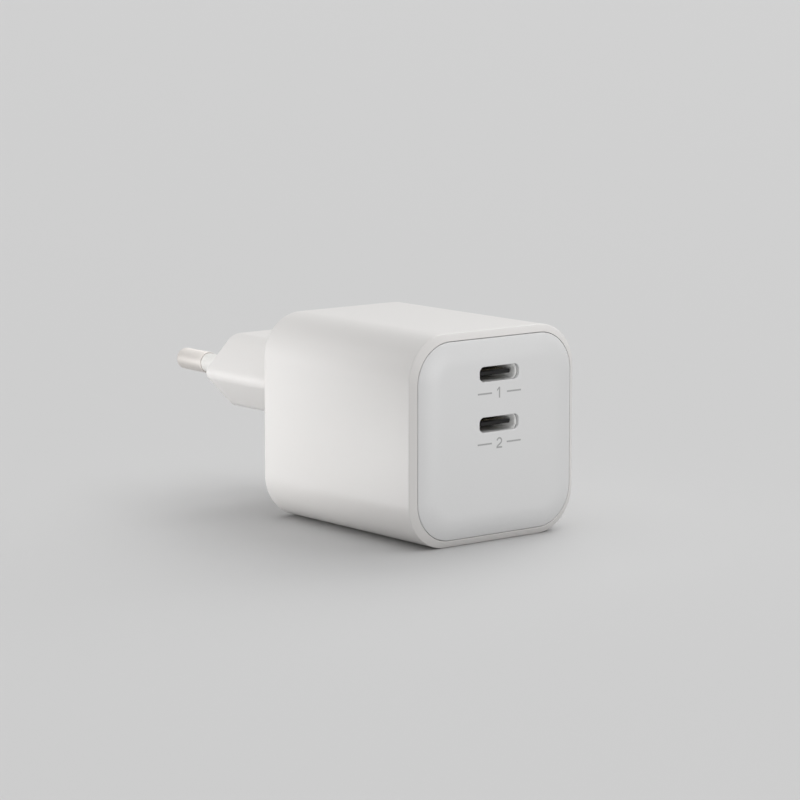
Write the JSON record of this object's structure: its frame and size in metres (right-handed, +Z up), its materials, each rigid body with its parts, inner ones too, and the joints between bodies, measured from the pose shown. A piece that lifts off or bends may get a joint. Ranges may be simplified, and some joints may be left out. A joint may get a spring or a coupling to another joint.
{
  "type": "usb-c power adapter",
  "caption": "White cube mains adapter with stacked USB-C sockets in a pillowed front panel and a flat European two-pin plug behind.",
  "frame": {"origin": "on the floor, at the middle of the whole length and width", "axes": "+Z up, X across, sockets face -Y and the plug's pins point to +Y"},
  "size_m": [0.0372, 0.0824, 0.0372],
  "materials": {
    "housing_plastic": "white polycarbonate, fine moulded satin",
    "panel_plastic": "white polycarbonate, fine moulded satin",
    "pin_nickel": "nickel-plated brass, turned",
    "sleeve_plastic": "white polyamide, moulded",
    "port_steel": "drawn stainless steel",
    "tongue_plastic": "black liquid-crystal polymer, moulded",
    "contact_gold": "gold flash on copper alloy",
    "board_laminate": "glass-epoxy board with green resist",
    "ferrite": "sintered ferrite",
    "bobbin_plastic": "black phenolic, moulded",
    "winding_tape": "yellow polyester tape over wire",
    "copper_wire": "enamelled copper wire",
    "can_sleeve": "shrink sleeve on an aluminium can",
    "can_aluminium": "drawn aluminium can",
    "film_box": "yellow boxed film capacitor",
    "chip_epoxy": "black moulded epoxy",
    "inductor_powder": "pressed iron powder",
    "fuse_ceramic": "glazed ceramic tube",
    "disc_epoxy": "blue dipped epoxy",
    "barrier_film": "polyester insulating sheet",
    "spreader_metal": "rolled aluminium sheet",
    "pad_silicone": "soft filled silicone",
    "strip_copper": "tinned copper strip",
    "carrier_plastic": "black polyamide, moulded"
  },
  "bodies": {
    "root": {"housing": "housing_plastic", "front_panel": "panel_plastic", "pin_left": "pin_nickel", "pin_right": "pin_nickel", "sleeve_left": "sleeve_plastic", "sleeve_right": "sleeve_plastic", "pin_carrier": "carrier_plastic", "contact_strip_left": "strip_copper", "contact_strip_right": "strip_copper", "port_shell_upper": "port_steel", "port_shell_lower": "port_steel", "port_tongue_upper": "tongue_plastic", "port_tongue_lower": "tongue_plastic", "port_contacts_upper": "contact_gold", "port_contacts_lower": "contact_gold", "port_board": "board_laminate", "main_board": "board_laminate", "transformer_core": "ferrite", "transformer_bobbin": "bobbin_plastic", "transformer_winding": "winding_tape", "bulk_capacitor_front": "can_sleeve", "bulk_capacitor_rear": "can_sleeve", "output_capacitor_left": "can_aluminium", "output_capacitor_right": "can_aluminium", "buck_inductor_upper": "inductor_powder", "buck_inductor_lower": "inductor_powder", "port_controller": "chip_epoxy", "bridge_rectifier": "chip_epoxy", "power_switch": "chip_epoxy", "sync_rectifier": "chip_epoxy", "optocoupler": "chip_epoxy", "mains_filter_capacitor": "film_box", "choke_core": "ferrite", "choke_winding": "copper_wire", "fuse": "fuse_ceramic", "disc_capacitor": "disc_epoxy", "barrier_sheet": "barrier_film", "heat_spreader": "spreader_metal", "thermal_pad": "pad_silicone"}
  },
  "joints": []
}
